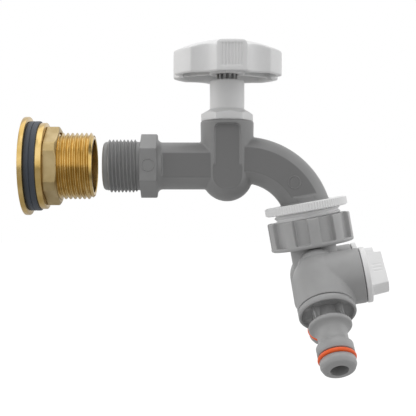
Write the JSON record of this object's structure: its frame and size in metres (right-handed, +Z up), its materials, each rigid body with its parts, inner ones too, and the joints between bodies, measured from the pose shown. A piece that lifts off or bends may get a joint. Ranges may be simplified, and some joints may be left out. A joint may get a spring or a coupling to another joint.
{
  "type": "water butt tap with splitter",
  "caption": "Screw-down water butt tap with a separate brass wall fitting and a forked splitter, each arm with a turning valve and a push-on hose tail.",
  "frame": {"origin": "on the inlet axis, at the plane between the two rubber washers where the tank wall is clamped", "axes": "+X along the inlet axis from the tank to the outlet, +Z up along the valve spindle, the two splitter arms lie nearly along -Y and +Y"},
  "size_m": [0.1796, 0.1168, 0.1602],
  "materials": {
    "brass": "turned, slightly dull",
    "black_rubber": "matt moulded rubber",
    "dark_grey_plastic": "satin moulded plastic",
    "light_grey_plastic": "satin moulded plastic",
    "pale_grey_plastic": "satin moulded plastic",
    "mid_grey_plastic": "satin moulded plastic",
    "orange_rubber": "smooth moulded rubber",
    "steel": "plated"
  },
  "bodies": {
    "wall_fitting": {"bulkhead_tube": "brass", "inner_rubber_washer": "black_rubber"},
    "clamp_stack": {"outer_rubber_washer": "black_rubber", "slip_ring": "brass"},
    "backnut": {"backnut": "brass"},
    "tap": {"tap_body": "dark_grey_plastic", "bonnet": "light_grey_plastic", "bonnet_seal": "black_rubber", "adapter_ring": "pale_grey_plastic", "adapter_seal": "black_rubber"},
    "valve": {"valve_plate": "mid_grey_plastic", "valve_washer": "black_rubber", "valve_washer_screw": "steel"},
    "handwheel": {"spindle": "dark_grey_plastic", "spindle_o_rings": "black_rubber", "handwheel": "light_grey_plastic", "handwheel_screw": "steel", "handwheel_cap": "light_grey_plastic"},
    "union_carrier": {"union_seal": "black_rubber", "union_retaining_ring": "steel"},
    "union_nut": {"union_nut": "mid_grey_plastic"},
    "splitter": {"splitter_body": "mid_grey_plastic", "near_hose_tail": "mid_grey_plastic", "near_tail_seal": "black_rubber", "near_connector_o_ring": "orange_rubber", "far_hose_tail": "mid_grey_plastic", "far_tail_seal": "black_rubber", "far_connector_o_ring": "orange_rubber"},
    "near_valve": {"near_valve_plug": "pale_grey_plastic", "near_plug_o_rings": "black_rubber", "near_valve_knob": "pale_grey_plastic"},
    "far_valve": {"far_valve_plug": "pale_grey_plastic", "far_plug_o_rings": "black_rubber", "far_valve_knob": "pale_grey_plastic"}
  },
  "joints": [
    {"name": "clamp_slide", "type": "slide", "parent": "wall_fitting", "child": "clamp_stack", "axis": [1, 0, 0], "range_m": [0, 0.00599]},
    {"name": "backnut_turn", "type": "hinge", "parent": "clamp_stack", "child": "backnut", "pos_m": [0, 0, 0], "axis": [1, 0, 0], "range_deg": [0, 935]},
    {"name": "tap_screw_in", "type": "slide", "parent": "wall_fitting", "child": "tap", "axis": [1, 0, 0], "range_m": [-0.0227, 0]},
    {"name": "valve_lift", "type": "slide", "parent": "tap", "child": "valve", "axis": [0, 0, 1], "range_m": [0, 0.00599]},
    {"name": "handwheel_turn", "type": "hinge", "parent": "valve", "child": "handwheel", "pos_m": [0.0954, 0, 0.03], "axis": [0, 0, 1], "range_deg": [0, 720]},
    {"name": "union_slide", "type": "slide", "parent": "tap", "child": "union_carrier", "axis": [0.1736, 0, -0.9848], "range_m": [0, 0.00692]},
    {"name": "union_nut_turn", "type": "hinge", "parent": "union_carrier", "child": "union_nut", "pos_m": [0.1344, 0, -0.01815], "axis": [0.1736, 0, -0.9848], "range_deg": [0, 1080]},
    {"name": "splitter_swivel", "type": "hinge", "parent": "union_carrier", "child": "splitter", "pos_m": [0.1344, 0, -0.01815], "axis": [0.1736, 0, -0.9848], "continuous": true},
    {"name": "near_valve_turn", "type": "hinge", "parent": "splitter", "child": "near_valve", "pos_m": [0.13984, -0.02096, -0.05639], "axis": [0.983, -0.061, 0.1733], "range_deg": [0, 90]},
    {"name": "far_valve_turn", "type": "hinge", "parent": "splitter", "child": "far_valve", "pos_m": [0.14237, 0.02096, -0.05594], "axis": [0.983, -0.061, 0.1733], "range_deg": [0, 90]}
  ],
  "couplings": [
    {"joint": "backnut_turn", "follows": "clamp_slide", "rad_per_m": 2721.2},
    {"joint": "handwheel_turn", "follows": "valve_lift", "rad_per_m": 2094.4},
    {"joint": "union_nut_turn", "follows": "union_slide", "rad_per_m": 2721.2}
  ]
}
